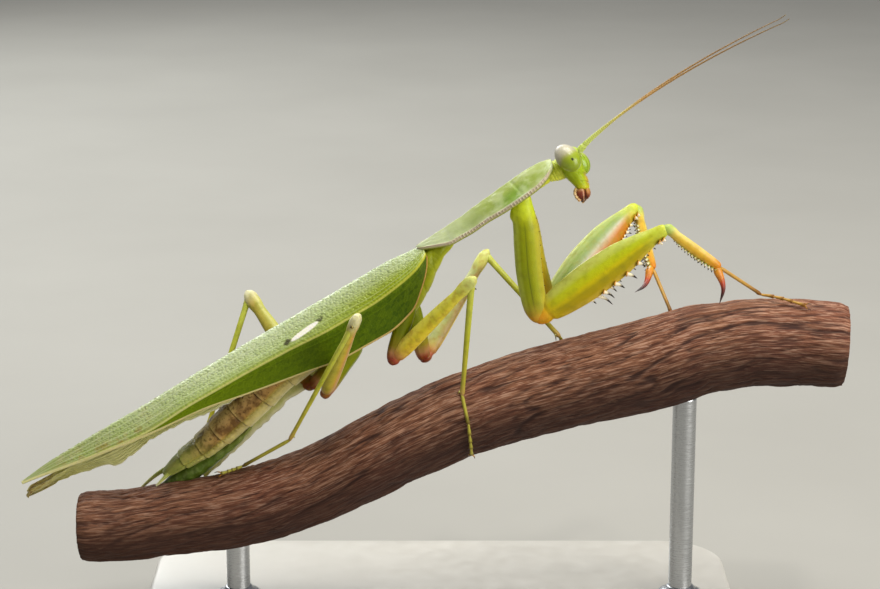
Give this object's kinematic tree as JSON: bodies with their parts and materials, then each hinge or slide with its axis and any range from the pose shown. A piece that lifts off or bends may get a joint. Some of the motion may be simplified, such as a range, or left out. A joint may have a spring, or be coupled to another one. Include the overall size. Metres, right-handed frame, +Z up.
{
  "type": "praying mantis",
  "caption": "Life-size still praying mantis, green and winged, stretching up along a cut length of bare branch on two rods over a flat base.",
  "frame": {"origin": "centre of the stand base's underside", "axes": "+X the way the animal faces, +Y its left, +Z up"},
  "size_m": [0.1048, 0.042, 0.0799],
  "materials": {
    "body_shell": "satin leaf-green cuticle, paler on the edges",
    "pronotum_shell": "grey-green plate with a pinkish pale margin",
    "abdomen_shell": "tan rings with darker marks, yellowish below",
    "forewing_sheet": "leathery green with fine raised veins and a pale spot",
    "hindwing_sheet": "thin pale yellow sheet with fine veins",
    "foreleg_shell": "yellow-green, orange towards the spines",
    "foreleg_shin": "yellow-orange with dark spine tips",
    "foreleg_claw": "orange-red to black, glossy",
    "walking_leg": "yellow-green, reddish at the joints",
    "feeler_thread": "pale green at the root, brown to the tip",
    "eye_lens": "smooth glossy green, grey-beige on top",
    "mouthparts": "cream-pink with dark maroon",
    "perch_wood": "bare grooved driftwood",
    "stand_base_board": "satin off-white",
    "stand_rod_steel": "plain steel"
  },
  "bodies": {
    "root": {"perch": "perch_wood", "stand_base": "stand_base_board", "stand_rod_rear": "stand_rod_steel", "stand_rod_front": "stand_rod_steel", "pronotum": "pronotum_shell", "prothorax": "body_shell", "thorax": "body_shell", "abdomen": "abdomen_shell", "abdomen_plate": "body_shell", "cercus_right": "body_shell", "cercus_left": "body_shell", "head": "body_shell", "neck": "body_shell", "eye_right": "eye_lens", "eye_left": "eye_lens", "antenna_right": "feeler_thread", "antenna_left": "feeler_thread", "labrum": "mouthparts", "jaw_right": "mouthparts", "jaw_left": "mouthparts", "palp_right": "mouthparts", "palp_left": "mouthparts", "forewing_right": "forewing_sheet", "forewing_left": "forewing_sheet", "hindwing_right": "hindwing_sheet", "hindwing_left": "hindwing_sheet", "fore_coxa_right": "foreleg_shell", "fore_coxa_left": "foreleg_shell", "fore_femur_right": "foreleg_shell", "fore_femur_left": "foreleg_shell", "fore_tibia_right": "foreleg_shin", "fore_tibia_left": "foreleg_shin", "fore_tarsus_right": "foreleg_shin", "fore_tarsus_left": "foreleg_shin", "mid_coxa_right": "walking_leg", "mid_coxa_left": "walking_leg", "mid_femur_right": "walking_leg", "mid_femur_left": "walking_leg", "mid_tibia_right": "walking_leg", "mid_tibia_left": "walking_leg", "mid_tarsus_right": "walking_leg", "mid_tarsus_left": "walking_leg", "hind_coxa_right": "walking_leg", "hind_coxa_left": "walking_leg", "hind_femur_right": "walking_leg", "hind_femur_left": "walking_leg", "hind_tibia_right": "walking_leg", "hind_tibia_left": "walking_leg", "hind_tarsus_right": "walking_leg", "hind_tarsus_left": "walking_leg", "fore_claw_right": "foreleg_claw", "fore_claw_left": "foreleg_claw"}
  },
  "joints": []
}
